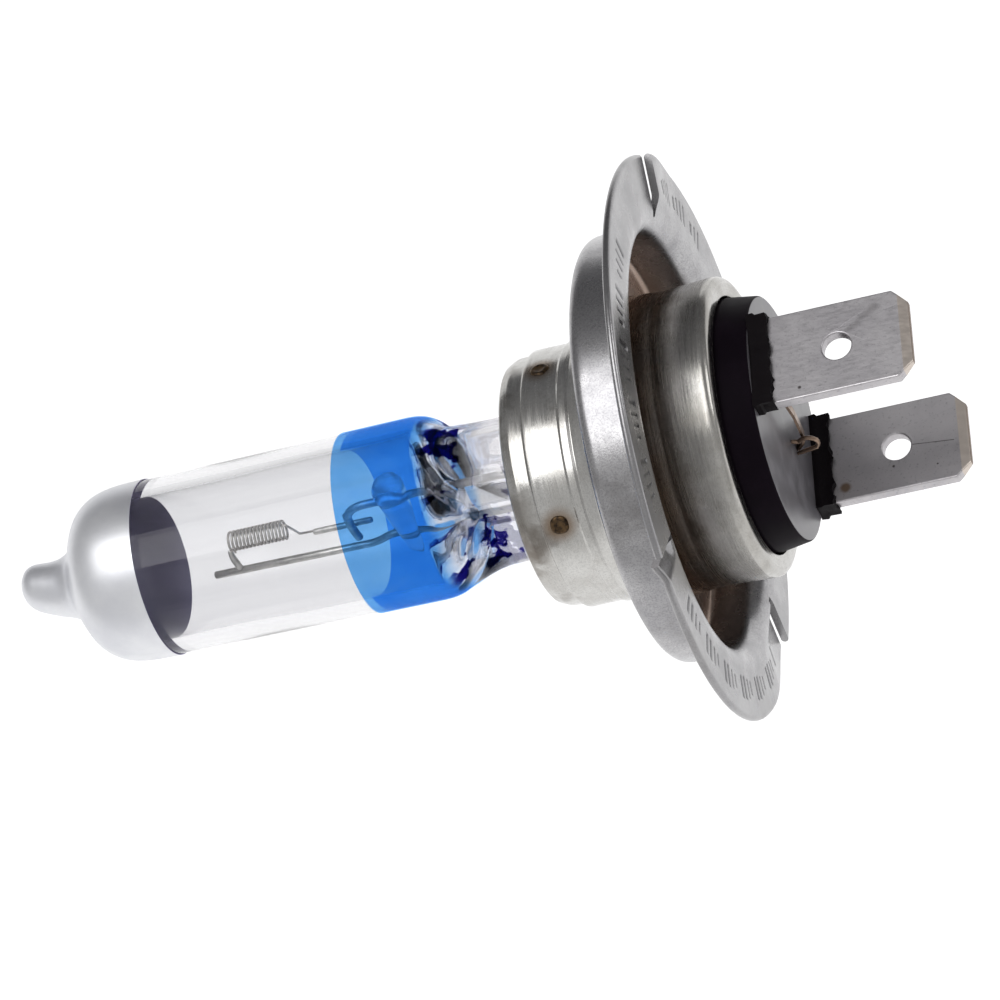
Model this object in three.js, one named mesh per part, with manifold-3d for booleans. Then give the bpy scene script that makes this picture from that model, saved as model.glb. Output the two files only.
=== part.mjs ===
// Single-filament halogen headlight bulb with a welded metal prefocus ring and two blade terminals.
// Millimetres. X runs along the lamp axis from the glass tip to the terminals, and +Z is up. The
// origin is on the axis in the lamp's reference plane, from which the filament's place is measured.

import * as THREE from 'three';
import { mergeVertices } from 'three/addons/utils/BufferGeometryUtils.js';
import Module from 'manifold-3d';

const wasm = await Module();
wasm.setup();

// Driving dimensions.
const GAP = 0.04; // clearance between pieces that touch on the real lamp
const SHEET = 0.5; // steel sheet of the ring and the rear shell
const GLASS_SEGMENTS = 28;
const STEEL_SEGMENTS = 40;
const RING_SEGMENTS = 60;

// Prefocus ring: a shallow cup with an outward rim.
const CUP_FRONT = -0.7;
const CUP_FLOOR = CUP_FRONT + SHEET;
const CUP_RADIUS = 14;
const CUP_CORNER = 1;
const RIM_RADIUS = 18.4;
const RIM_FRONT = 3.2;
const RIM_REAR = RIM_FRONT + SHEET;
const RING_HOLE = 8.65;
const RING_LAND = { radius: 10.9, depth: 0.1 }; // a recess round the hole for the sleeve's flange
const SLIT_WIDTH = 0.7;
const SLIT_ANGLES = [60, 200, 306]; // degrees about X, from +Z towards +Y
const TAB_LENGTH = 3.4;
const TAB_LIFT = 12; // degrees

// Glass capsule. Its axis lies beside the lamp axis, which puts the off-centre filament on the lamp axis.
const CAPSULE_OFFSET = -0.84;
const GLASS_TIP = -43.4;
const SHOULDER = -34.9; // where the straight barrel begins
const BARREL_END = -15.2;
const BARREL_ROUND = 4.4; // length of the rounding behind the barrel
const FRONT_RADIUS = 5.75;
const REAR_RADIUS = 5.95;
const GLASS_WALL = 1.05;
const PINCH_START = -13.8;
const PINCH_END = -0.8;
const PINCH_WIDTH = 13.3;
const PINCH_WEB = 3.2;
const PINCH_RAIL = 5.5; // diameter of the round rails along the pinch's two edges

// Coatings on the glass.
const COAT = 0.06;
const TOP_COAT_EDGE = -33.5;
const BLUE_COAT_FRONT = -19.5;
const BLUE_COAT_REAR = -13.9;

// Filament and the wires that carry it. Their places are beside the capsule's own axis.
const COIL = {
  start: -28.95, end: -24.75, turns: 14.5, radius: 0.72, wire: 0.2, y: -CAPSULE_OFFSET, z: -0.1,
};
const LEAD_OFFSET = 2.12; // each lead's height above or below the axis, through the bridge and the pinch
const WIRE = 0.55;
const BRIDGE = { x: -16.45, radius: 1.15, length: 7.5 };
const FOIL = { start: -8.6, end: -3.4, width: 2.8, thickness: 0.1 };

// Steel sleeves and rear shell.
const SLEEVE = {
  front: -7.5, band: -5.7, ridge: -3.1, radius: 8.45, lip: 8.15, mouth: 7.35, flange: 9.8, wall: 0.4,
};
const HOLDER = { front: -6.6, rear: 3.9, radius: 7.71, wall: 0.35 };
const CLIP = { start: -6, end: -1.5, sheet: 0.3 };
const SHELL = { radius: 9.8, shoulder: 5.5, end: 7.2, mouth: 8.4, foot: 10.5 };

// Insulator and terminals.
const DISC = { front: 6.1, rear: 9.25, radius: 8.25, rearRadius: 7.95, edge: 0.2 };
const BLADE = { offset: 6.7, width: 6.3, thickness: 0.8, tip: 19.6 };
const BLADE_ROOT = { shoulder: 6.4, tail: 4, tailWidth: 2.2, thickness: 0.76 }; // the part inside the base
const BLADE_TIP = { chamfer: 1, bevel: 1, thickness: 0.4 };
const BLADE_HOLE = { x: 14.8, radius: 0.95 };
const SEAL = { width: 6.8, inner: 0.35, outer: 0.4, height: 1.2 };

const lamp = new THREE.Group();
const capsule = new THREE.Group();
capsule.position.y = CAPSULE_OFFSET;
lamp.add(capsule);

function finish(color, roughness, metalness, opacity = 1) {
  return new THREE.MeshStandardMaterial({ color, roughness, metalness, opacity, transparent: opacity < 1 });
}

const steel = () => finish(0xa5a29c, 0.35, 1);
const nickel = () => finish(0x8f8c86, 0.4, 1);
const quartz = () => finish(0xe8ebee, 0.05, 0, 0.3);

function add(name, geometry, material, group = lamp) {
  const mesh = new THREE.Mesh(geometry, material);
  mesh.name = name;
  group.add(mesh);
}

// ---- shape helpers ----

function toSolid(geometry) {
  const bare = geometry.clone();
  bare.deleteAttribute('normal');
  bare.deleteAttribute('uv');
  const merged = mergeVertices(bare, 1e-4);
  return new wasm.Manifold(new wasm.Mesh({
    numProp: 3,
    vertProperties: new Float32Array(merged.attributes.position.array),
    triVerts: new Uint32Array(merged.index.array),
  }));
}

function toGeometry(manifold) {
  const mesh = manifold.getMesh();
  const geometry = new THREE.BufferGeometry();
  geometry.setAttribute('position', new THREE.BufferAttribute(mesh.vertProperties, 3));
  geometry.setIndex(new THREE.BufferAttribute(mesh.triVerts, 1));
  const faceted = geometry.toNonIndexed();
  faceted.computeVertexNormals();
  return faceted;
}

// A solid of revolution about X. The profile holds [x, radius] points, front to rear along the outside.
function revolve(profile, segments) {
  const points = profile.map(([x, radius]) => new THREE.Vector2(radius, x));
  return new THREE.LatheGeometry(points, segments).rotateZ(-Math.PI / 2);
}

function closedRevolve(profile, segments) {
  return revolve([...profile, profile[0]], segments);
}

// Points on an ellipse in the [x, radius] plane, angles in degrees from +x.
function arc(x, radius, xAxis, radiusAxis, from, to, steps) {
  const points = [];
  for (let i = 0; i <= steps; i++) {
    const angle = THREE.MathUtils.degToRad(from + ((to - from) * i) / steps);
    points.push([x + xAxis * Math.cos(angle), radius + radiusAxis * Math.sin(angle)]);
  }
  return points;
}

function box(low, high) {
  const size = high.map((value, i) => value - low[i]);
  const centre = high.map((value, i) => (value + low[i]) / 2);
  return new THREE.BoxGeometry(...size).translate(...centre);
}

// A cylinder along X at (y, z).
function rodAlongX(start, end, radius, y, z, segments = 16) {
  const rod = new THREE.CylinderGeometry(radius, radius, end - start, segments);
  return rod.rotateZ(-Math.PI / 2).translate((start + end) / 2, y, z);
}

// An outline in the Y-Z plane pulled along X.
function pullAlongX(outline, start, end) {
  const shape = new THREE.Shape(outline.map(([y, z]) => new THREE.Vector2(y, z)));
  const pulled = new THREE.ExtrudeGeometry(shape, { depth: end - start, bevelEnabled: false });
  // Shape x, y and depth become Y, Z and X.
  const turn = new THREE.Matrix4().makeBasis(
    new THREE.Vector3(0, 1, 0),
    new THREE.Vector3(0, 0, 1),
    new THREE.Vector3(1, 0, 0),
  );
  return pulled.applyMatrix4(turn).translate(start, 0, 0);
}

// A round wire along a curve.
function wire(curve, diameter, steps, sides = 8) {
  const section = new THREE.Shape();
  for (let i = 0; i < sides; i++) {
    const angle = (2 * Math.PI * i) / sides;
    const point = [(diameter / 2) * Math.cos(angle), (diameter / 2) * Math.sin(angle)];
    if (i === 0) section.moveTo(...point);
    else section.lineTo(...point);
  }
  return new THREE.ExtrudeGeometry(section, { steps, extrudePath: curve, bevelEnabled: false });
}

// Straight runs through the points, with each inner corner rounded off over the given distance.
function bentPath(points, corner) {
  const spots = points.map((p) => new THREE.Vector3(...p));
  const path = new THREE.CurvePath();
  let from = spots[0];
  for (let i = 1; i < spots.length - 1; i++) {
    const before = spots[i].clone().add(spots[i - 1].clone().sub(spots[i]).setLength(corner));
    const after = spots[i].clone().add(spots[i + 1].clone().sub(spots[i]).setLength(corner));
    path.add(new THREE.LineCurve3(from, before));
    path.add(new THREE.QuadraticBezierCurve3(before, spots[i], after));
    from = after;
  }
  path.add(new THREE.LineCurve3(from, spots[spots.length - 1]));
  return path;
}

// ---- glass capsule and its coatings ----

// The capsule's outside, front to rear, from the sealed exhaust nub to the end of the barrel.
function glassFront(offset) {
  return [
    [GLASS_TIP - offset, 0],
    ...arc(-42.1, 0, 1 + offset, 1.4 + offset, 160, 90, 3),
    [-40.4, 1.85 + offset],
    [-39.7, 2.15 + offset],
    ...arc(SHOULDER, 0, 5 + offset, FRONT_RADIUS + offset, 152, 90, 6),
  ];
}

function barrelRadius(x) {
  const share = (x - SHOULDER) / (BARREL_END - SHOULDER);
  return FRONT_RADIUS + (REAR_RADIUS - FRONT_RADIUS) * Math.min(share, 1);
}

function pinchOutline() {
  const web = PINCH_WEB / 2;
  const rail = PINCH_RAIL / 2;
  const railCentre = PINCH_WIDTH / 2 - rail;
  const outline = [];
  for (const side of [1, -1]) {
    for (let angle = -45; angle <= 225; angle += 30) {
      const radians = THREE.MathUtils.degToRad(angle);
      outline.push([side * rail * Math.cos(radians), side * (railCentre + rail * Math.sin(radians))]);
    }
    outline.push([-side * web, side * (railCentre - rail)]);
    outline.push([-side * web, -side * (railCentre - rail)]);
  }
  return outline;
}

function quartzBulb() {
  const barrel = toSolid(revolve([
    ...glassFront(0),
    ...arc(BARREL_END, 0, BARREL_ROUND, REAR_RADIUS, 90, 20, 4),
    [BARREL_END + BARREL_ROUND, 0],
  ], GLASS_SEGMENTS));
  const pinch = toSolid(pullAlongX(pinchOutline(), PINCH_START, PINCH_END));
  const inner = FRONT_RADIUS - GLASS_WALL;
  const innerRear = REAR_RADIUS - GLASS_WALL;
  const cavity = toSolid(revolve([
    [SHOULDER - 5.2, 0],
    [SHOULDER - 5, 0.4],
    ...arc(SHOULDER, 0, 3.7, inner, 175, 90, 5),
    ...arc(BARREL_END, 0, 2.4, innerRear, 90, 10, 4),
    [BARREL_END + 2.4, 0],
  ], GLASS_SEGMENTS));
  let bulb = barrel.add(pinch).subtract(cavity);
  for (const z of [LEAD_OFFSET, -LEAD_OFFSET]) {
    const half = FOIL.width / 2 + GAP;
    const depth = FOIL.thickness / 2 + GAP;
    const bore = WIRE / 2 + GAP;
    bulb = bulb.subtract(toSolid(rodAlongX(BARREL_END, FOIL.start, bore, 0, z, 12)));
    const room = box([FOIL.start - 0.2, -depth, z - half], [FOIL.end + 0.2, depth, z + half]);
    bulb = bulb.subtract(toSolid(room));
    bulb = bulb.subtract(toSolid(rodAlongX(FOIL.end, PINCH_END + 1, bore, 0, z, 12)));
  }
  return toGeometry(bulb);
}

function topCoating() {
  const outer = glassFront(GAP + COAT);
  const inner = glassFront(GAP);
  const edgeRadius = barrelRadius(TOP_COAT_EDGE) + GAP;
  return revolve([
    ...outer,
    [TOP_COAT_EDGE, edgeRadius + COAT],
    [TOP_COAT_EDGE, edgeRadius],
    ...inner.reverse(),
  ], GLASS_SEGMENTS);
}

function blueCoating() {
  const inner = GAP;
  const outer = GAP + COAT;
  const endAngle = THREE.MathUtils.radToDeg(Math.acos((BLUE_COAT_REAR - BARREL_END) / BARREL_ROUND));
  return closedRevolve([
    [BLUE_COAT_FRONT, barrelRadius(BLUE_COAT_FRONT) + outer],
    ...arc(BARREL_END, 0, BARREL_ROUND + outer, REAR_RADIUS + outer, 90, endAngle, 3),
    ...arc(BARREL_END, 0, BARREL_ROUND + inner, REAR_RADIUS + inner, endAngle, 90, 3),
    [BLUE_COAT_FRONT, barrelRadius(BLUE_COAT_FRONT) + inner],
  ], GLASS_SEGMENTS);
}

function glassPieces() {
  add('quartz_bulb', quartzBulb(), quartz(), capsule);
  add('top_coating', topCoating(), finish(0xc4c5c6, 0.3, 0.6), capsule);
  add('blue_coating', blueCoating(), finish(0x2a7fd0, 0.1, 0, 0.5), capsule);
}

// ---- filament, wires and foils ----

// The coil with a straight leg at each end: the rear leg runs on along X, the front leg drops to its post.
class FilamentPath extends THREE.Curve {
  getPoint(t, target = new THREE.Vector3()) {
    const rearLeg = 0.08;
    const rearAngle = Math.atan2(-0.68, -0.25);
    const s = Math.min(t / (1 - rearLeg), 1);
    const extra = Math.max(t - (1 - rearLeg), 0) / rearLeg;
    const angle = rearAngle + 2 * Math.PI * COIL.turns * (s - 1);
    return target.set(
      COIL.start + (COIL.end - COIL.start) * s + 1.6 * extra,
      COIL.y + COIL.radius * Math.cos(angle),
      COIL.z + COIL.radius * Math.sin(angle),
    );
  }
}

function filamentPieces() {
  const tungsten = finish(0x6f6c69, 0.5, 1);
  add('filament_coil', wire(new FilamentPath(), COIL.wire, 150, 5), tungsten, capsule);

  const frontLeg = bentPath([
    [COIL.start - 0.15, COIL.y - 0.2, COIL.z - COIL.radius],
    [COIL.start - 0.2, 0.3, -1.35],
    [COIL.start - 0.1, 0, -2.28],
  ], 0.3);
  add('front_filament_post', wire(frontLeg, 0.42, 8, 6), nickel(), capsule);

  const rearPost = new THREE.LineCurve3(
    new THREE.Vector3(COIL.end + 1.65, COIL.y - 0.25, COIL.z - 0.68),
    new THREE.Vector3(-19.05, COIL.y - 0.25, COIL.z - 0.68),
  );
  add('rear_filament_post', wire(rearPost, 0.48, 1, 10), nickel(), capsule);
}

function wirePieces() {
  const shortWire = bentPath([
    [FOIL.start - 0.05, 0, LEAD_OFFSET],
    [-19.9, 0, LEAD_OFFSET],
    [-20.35, 0, -0.2],
    [-20.3, 0, -1.75],
  ], 1.4);
  add('short_support_wire', wire(shortWire, WIRE, 20, 6), nickel(), capsule);

  const longWire = bentPath([
    [FOIL.start - 0.05, 0, -LEAD_OFFSET],
    [-18.2, 0, -LEAD_OFFSET],
    [-19.4, 0, -2.75],
    [-30.8, 0, -2.55],
  ], 0.6);
  add('long_support_wire', wire(longWire, WIRE, 24, 6), nickel(), capsule);

  const half = BRIDGE.length / 2;
  const rod = new THREE.LatheGeometry([
    new THREE.Vector2(0, -half),
    new THREE.Vector2(BRIDGE.radius - 0.3, -half),
    new THREE.Vector2(BRIDGE.radius, -half + 0.3),
    new THREE.Vector2(BRIDGE.radius, half - 0.3),
    new THREE.Vector2(BRIDGE.radius - 0.3, half),
    new THREE.Vector2(0, half),
  ], 24).rotateX(Math.PI / 2).translate(BRIDGE.x, 0, 0);
  let bridge = toSolid(rod);
  for (const z of [LEAD_OFFSET, -LEAD_OFFSET]) {
    const bore = rodAlongX(BRIDGE.x - 2, BRIDGE.x + 2, WIRE / 2 + GAP, 0, z, 12);
    bridge = bridge.subtract(toSolid(bore));
  }
  add('quartz_bridge', toGeometry(bridge), quartz(), capsule);

  for (const [name, side] of [['upper', 1], ['lower', -1]]) {
    const z = side * LEAD_OFFSET;
    const low = [FOIL.start, -FOIL.thickness / 2, z - FOIL.width / 2];
    const high = [FOIL.end, FOIL.thickness / 2, z + FOIL.width / 2];
    add(`${name}_foil`, box(low, high), finish(0x9a9aa0, 0.3, 1), capsule);

    const tailInside = BLADE.offset - BLADE.thickness / 2 - WIRE / 2 - GAP;
    const outerLead = bentPath([
      [FOIL.end + 0.05, 0, z],
      [1.2, 0, z],
      [4, 0, side * tailInside],
      [5.7, 0, side * tailInside],
    ], 0.8);
    add(`${name}_outer_lead`, wire(outerLead, WIRE, 16, 6), nickel(), capsule);
  }
}

// ---- steel base ----

// An open line of [y, z] points shifted sideways by a distance, with its corners mitred.
function shiftLine(points, distance) {
  const normals = points.slice(1).map(([y, z], i) => {
    const along = new THREE.Vector2(y - points[i][0], z - points[i][1]).normalize();
    return new THREE.Vector2(along.y, -along.x);
  });
  return points.map(([y, z], i) => {
    const before = normals[Math.max(i - 1, 0)];
    const after = normals[Math.min(i, normals.length - 1)];
    const mitre = before.clone().add(after).divideScalar(1 + before.dot(after));
    return [y + mitre.x * distance, z + mitre.y * distance];
  });
}

// A sprung saddle that grips one flat side of the pinch, with wings that bear on the holder sleeve.
function pinchClip(side) {
  const face = PINCH_RAIL / 2 + GAP;
  const line = [[4.3, -5.75], [face, -3.4], [face, 3.4], [4.3, 5.75]];
  const outline = [...line, ...shiftLine(line, CLIP.sheet).reverse()];
  const clip = pullAlongX(outline, CLIP.start, CLIP.end);
  return side > 0 ? clip : clip.rotateX(Math.PI);
}

function adjustingSleeve() {
  const { front, band, ridge, radius, lip, mouth, flange, wall } = SLEEVE;
  const seat = CUP_FRONT + RING_LAND.depth - GAP;
  return closedRevolve([
    [front + 0.1, mouth],
    [front, mouth + 0.25],
    ...arc(front + 0.55, lip - 0.55, 0.55, 0.55, 170, 90, 3),
    [band - 0.15, lip],
    [band, radius - 0.1],
    [band + 0.15, radius],
    [ridge, radius],
    [ridge + 0.25, radius + 0.12],
    [ridge + 0.6, radius + 0.12],
    [seat - 1, radius + 0.45],
    [seat - 0.4, flange - 0.1],
    [seat - 0.2, flange],
    [seat, flange],
    [seat, flange - 0.8],
    [seat - 0.6, radius + 0.3 - wall],
    [ridge, radius - wall],
    [band, radius - wall],
    [front + 0.6, lip - wall],
    [front + 0.45, mouth],
  ], STEEL_SEGMENTS);
}

function holderSleeve() {
  const { front, rear, radius, wall } = HOLDER;
  return closedRevolve([
    [front, radius - wall],
    [front, radius],
    [rear, radius],
    [rear, radius - wall],
  ], STEEL_SEGMENTS);
}

function ringBody() {
  const corner = CUP_RADIUS - CUP_CORNER;
  const bend = RIM_FRONT - SHEET;
  const inner = CUP_CORNER - SHEET;
  return closedRevolve([
    [CUP_FRONT + RING_LAND.depth, RING_HOLE],
    [CUP_FRONT + RING_LAND.depth, RING_LAND.radius],
    [CUP_FRONT, RING_LAND.radius + RING_LAND.depth],
    ...arc(CUP_FRONT + CUP_CORNER, corner, CUP_CORNER, CUP_CORNER, 180, 90, 4),
    ...arc(bend, CUP_RADIUS + SHEET, SHEET, SHEET, 270, 360, 3),
    [RIM_FRONT, RIM_RADIUS - 0.1],
    [RIM_FRONT + 0.1, RIM_RADIUS],
    [RIM_REAR - 0.1, RIM_RADIUS],
    [RIM_REAR, RIM_RADIUS - 0.1],
    ...arc(bend, CUP_RADIUS + SHEET, 2 * SHEET, 2 * SHEET, 360, 270, 4),
    ...arc(CUP_FRONT + CUP_CORNER, corner, inner, inner, 90, 180, 3),
    [CUP_FLOOR, RING_HOLE],
  ], RING_SEGMENTS);
}

// The rim is slit at three places, and the metal on one side of each slit is lifted as a spring tab.
function mountingRing() {
  let ring = toSolid(ringBody());
  const inside = CUP_RADIUS + 2 * SHEET + 0.2;
  const beyond = RIM_RADIUS + 1;
  const start = SLIT_WIDTH / 2;
  const tabWidth = RIM_RADIUS - 0.1 - inside;
  for (const degrees of SLIT_ANGLES) {
    const angle = -THREE.MathUtils.degToRad(degrees);
    const slit = box([RIM_FRONT - 0.9, -start, CUP_RADIUS - 0.6], [RIM_REAR + 1, start, beyond]);
    const room = box([RIM_FRONT - 1, -start - TAB_LENGTH, inside - 0.1], [RIM_REAR + 1, 0.1 - start, beyond]);
    ring = ring.subtract(toSolid(slit.rotateX(angle))).subtract(toSolid(room.rotateX(angle)));
    const tab = box([0, -0.25, 0], [SHEET, TAB_LENGTH, tabWidth]);
    tab.rotateZ(THREE.MathUtils.degToRad(-TAB_LIFT));
    tab.translate(RIM_FRONT, -start - TAB_LENGTH, inside);
    ring = ring.add(toSolid(tab.rotateX(angle)));
  }
  return toGeometry(ring);
}

function rearShell() {
  const { radius, shoulder, end, mouth, foot } = SHELL;
  const reach = end - shoulder;
  const drop = radius - mouth;
  const floor = CUP_FLOOR + GAP;
  return closedRevolve([
    [floor, radius - SHEET],
    [floor, foot],
    [floor + 0.3, foot],
    [floor + 0.9, radius],
    ...arc(shoulder, mouth, reach, drop, 90, 15, 5),
    [end, mouth],
    [end - 0.3, mouth],
    ...arc(shoulder, mouth, reach - SHEET, drop - SHEET, 15, 90, 4),
  ], STEEL_SEGMENTS);
}

function steelPieces() {
  add('adjusting_sleeve', adjustingSleeve(), steel(), capsule);
  add('holder_sleeve', holderSleeve(), steel(), capsule);
  add('pinch_clip_left', pinchClip(-1), steel(), capsule);
  add('pinch_clip_right', pinchClip(1), steel(), capsule);
  add('mounting_ring', mountingRing(), steel());
  add('rear_shell', rearShell(), steel());
}

// ---- insulator and terminals ----

function insulatorDisc() {
  const { front, rear, radius, rearRadius, edge } = DISC;
  let disc = toSolid(revolve([
    [front, 0],
    [front, radius],
    [SHELL.end + 0.1, radius],
    [rear - edge, rearRadius + 0.1],
    [rear, rearRadius - edge],
    [rear, 0],
  ], STEEL_SEGMENTS));
  const halfWidth = BLADE.width / 2 + GAP;
  const halfThickness = BLADE.thickness / 2 + GAP;
  for (const z of [BLADE.offset, -BLADE.offset]) {
    const slot = box([front - 1, -halfWidth, z - halfThickness], [rear + 1, halfWidth, z + halfThickness]);
    disc = disc.subtract(toSolid(slot));
  }
  return toGeometry(disc);
}

// A flat blade with a slightly thinner root and narrow tail inside the base, a detent hole and a coined tip.
function terminal(side) {
  const { width, thickness, tip } = BLADE;
  const { shoulder, tail, tailWidth } = BLADE_ROOT;
  const { chamfer, bevel } = BLADE_TIP;
  const half = width / 2;
  const outline = new THREE.Shape([
    new THREE.Vector2(tail, -tailWidth / 2),
    new THREE.Vector2(shoulder, -tailWidth / 2),
    new THREE.Vector2(shoulder, -half),
    new THREE.Vector2(tip - chamfer, -half),
    new THREE.Vector2(tip, -half + chamfer),
    new THREE.Vector2(tip, half - chamfer),
    new THREE.Vector2(tip - chamfer, half),
    new THREE.Vector2(shoulder, half),
    new THREE.Vector2(shoulder, tailWidth / 2),
    new THREE.Vector2(tail, tailWidth / 2),
  ]);
  outline.holes.push(new THREE.Path().absarc(BLADE_HOLE.x, 0, BLADE_HOLE.radius, 0, 2 * Math.PI, true));
  const sheet = { depth: thickness, bevelEnabled: false, curveSegments: 20 };
  const blank = new THREE.ExtrudeGeometry(outline, sheet);
  blank.translate(0, 0, -thickness / 2);

  const root = DISC.rear + SEAL.height + 2 * GAP;
  const upperSide = [
    [tail - 1, BLADE_ROOT.thickness / 2],
    [root, BLADE_ROOT.thickness / 2],
    [root, thickness / 2],
    [tip - bevel, thickness / 2],
    [tip, BLADE_TIP.thickness / 2],
  ];
  const lowerSide = upperSide.map(([x, z]) => [x, -z]).reverse();
  const edge = new THREE.Shape([...upperSide, ...lowerSide].map(([x, z]) => new THREE.Vector2(x, z)));
  const sideView = new THREE.ExtrudeGeometry(edge, { depth: width + 2, bevelEnabled: false });
  sideView.translate(0, 0, -half - 1).rotateX(-Math.PI / 2);
  const blade = toGeometry(toSolid(blank).intersect(toSolid(sideView)));
  return blade.translate(0, 0, side * BLADE.offset);
}

// Insulating compound run round the root of a blade.
function terminalSeal(side) {
  const root = DISC.rear + GAP;
  const inner = BLADE.thickness / 2 + GAP;
  const centre = side * BLADE.offset;
  const outer = [inner + SEAL.inner, inner + SEAL.outer];
  if (side > 0) outer.reverse();
  const block = box(
    [root, -SEAL.width / 2, centre - outer[1]],
    [root + SEAL.height, SEAL.width / 2, centre + outer[0]],
  );
  const halfWidth = BLADE.width / 2 + GAP;
  const hole = box([root - 1, -halfWidth, centre - inner], [root + 3, halfWidth, centre + inner]);
  return toGeometry(toSolid(block).subtract(toSolid(hole)));
}

// A nickel strip from the upper blade, folded up at its free end.
function weldStrip() {
  const sheet = 0.25;
  const root = DISC.rear + GAP;
  const near = BLADE.offset - BLADE.thickness / 2 - SEAL.outer - 3 * GAP;
  const flat = toSolid(box([root, -2.4, 1.2], [root + sheet, -0.9, near]));
  const fold = toSolid(box([root, -2.4, 1.2], [root + 1.5, -0.9, 1.2 + sheet]));
  return toGeometry(flat.add(fold));
}

function terminalPieces() {
  add('insulator_disc', insulatorDisc(), finish(0x17141a, 0.35, 0));
  for (const [name, side] of [['upper', 1], ['lower', -1]]) {
    add(`${name}_terminal`, terminal(side), finish(0x97928f, 0.4, 1));
    add(`${name}_terminal_seal`, terminalSeal(side), finish(0x0c0a0d, 0.6, 0));
  }
  add('lead_weld_strip', weldStrip(), nickel());

  const root = DISC.rear + GAP;
  const loop = bentPath([
    [root, -0.4, -2],
    [root + 1.5, -0.4, -2],
    [root + 1.5, -0.4, -3.3],
    [root, -0.4, -3.3],
  ], 0.6);
  add('lead_wire_loop', wire(loop, 0.4, 14, 6), nickel());
}

glassPieces();
filamentPieces();
wirePieces();
steelPieces();
terminalPieces();

export default lamp;
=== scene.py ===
"""Looks of a halogen headlight bulb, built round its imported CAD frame.

Blender units are metres. X runs along the lamp axis from the glass tip to the terminals, and +Z is up.
Lengths here are written in millimetres and become metres when a mesh is made.
"""

import math

import bmesh
import bpy
from mathutils import Euler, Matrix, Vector, noise


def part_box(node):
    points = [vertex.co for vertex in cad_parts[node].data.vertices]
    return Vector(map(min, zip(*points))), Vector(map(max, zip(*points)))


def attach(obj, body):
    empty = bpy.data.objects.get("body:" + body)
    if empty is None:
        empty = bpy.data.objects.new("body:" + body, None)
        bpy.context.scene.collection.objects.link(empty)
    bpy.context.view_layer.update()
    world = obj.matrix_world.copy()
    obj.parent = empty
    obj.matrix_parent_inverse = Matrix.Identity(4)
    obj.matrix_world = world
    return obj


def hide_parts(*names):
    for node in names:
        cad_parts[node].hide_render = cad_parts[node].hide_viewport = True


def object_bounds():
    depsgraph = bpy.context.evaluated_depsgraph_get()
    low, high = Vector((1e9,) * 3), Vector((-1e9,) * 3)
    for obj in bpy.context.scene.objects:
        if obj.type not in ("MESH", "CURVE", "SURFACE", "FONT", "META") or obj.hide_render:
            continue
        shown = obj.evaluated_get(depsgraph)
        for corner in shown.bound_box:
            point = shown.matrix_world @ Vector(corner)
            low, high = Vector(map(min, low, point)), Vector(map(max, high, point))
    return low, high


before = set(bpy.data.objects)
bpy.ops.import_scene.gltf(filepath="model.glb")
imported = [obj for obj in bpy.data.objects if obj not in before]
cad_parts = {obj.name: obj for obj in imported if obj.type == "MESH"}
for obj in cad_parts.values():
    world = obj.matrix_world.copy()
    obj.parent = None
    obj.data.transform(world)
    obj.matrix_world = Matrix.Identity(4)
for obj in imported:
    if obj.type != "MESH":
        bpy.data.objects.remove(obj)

MM = 0.001
CAD_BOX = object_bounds()
POINT = 0.001  # radius of a ring that closes a piece on its axis


# ---- places read from the frame, in millimetres ----

def low(node):
    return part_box(node)[0] / MM


def high(node):
    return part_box(node)[1] / MM


def middle(node):
    return (low(node) + high(node)) / 2


def radius_of(node):
    return (high(node).z - low(node).z) / 2


AXIS_Y = middle("holder_sleeve").y  # the capsule's own axis, beside the lamp axis
TIP = low("quartz_bulb").x
TOP_COAT_EDGE = high("top_coating").x
BLUE_FRONT = low("blue_coating").x
CAD_COAT = 0.1  # the CAD coating's thickness and its gap to the glass
BARREL_RADIUS = radius_of("blue_coating") - CAD_COAT
PINCH_END = high("quartz_bulb").x
PINCH_HALF = 6.65
PINCH_RAIL = 2.7  # radius of the rails along the pinch's two edges
PINCH_WEB = 1.5  # half thickness between the rails
BARREL_END = -15.4
PINCH_START = -11.1
GLASS_WALL = 1.05
COAT_GAP = 0.03
COAT = 0.05
LEAD_Z = middle("upper_foil").z

SLEEVE_FRONT = low("adjusting_sleeve").x
SLEEVE_SEAT = high("adjusting_sleeve").x
SLEEVE_RADIUS = 8.45
WELD_SPOT_X = -4.55
WELD_SPOT_ANGLES = (25.5, 129, 205.5, 309)  # degrees from +Z towards +Y

CUP_FRONT = low("mounting_ring").x
CUP_RADIUS = 14.0
RIM_RADIUS = radius_of("mounting_ring")
RIM_REAR = 3.7
SHEET = 0.5
RING_HOLE = 8.65
SLITS = (60, 200, 306)  # degrees from +Z towards +Y
SLIT_HALF = 0.8  # degrees
SLIT_ROOT = 14.4  # how far in towards the axis a slit reaches
RIM_BEND = 1.6  # the bend between the cup's wall and the rim's rear face
LAND_RADIUS = 10.9  # a recess round the hole for the sleeve's flange
LAND_DEPTH = 0.1

SHELL_END = high("rear_shell").x
SHELL_FOOT_X = low("rear_shell").x
SHELL_RADIUS = 9.8
SHELL_MOUTH = 8.4

DISC_REAR = high("insulator_disc").x
DISC_RADIUS = 8.3
BLADE_HALF = high("upper_terminal").y
BLADE_Z = middle("upper_terminal").z
BLADE_TIP = high("upper_terminal").x
BLADE_THICKNESS = high("upper_terminal").z - low("upper_terminal").z
BLADE_HOLE_X = 14.8
BLADE_HOLE_RADIUS = 0.95
BLADE_BEVEL = 0.65  # length of the coined strip at the tip
BLADE_EDGE = 0.1  # rounding of the blade's long edges


# ---- mesh helpers ----

def add_object(name, data):
    """A new object in the scene that shows the data."""
    piece = bpy.data.objects.new(name, data)
    bpy.context.scene.collection.objects.link(piece)
    return piece


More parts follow.
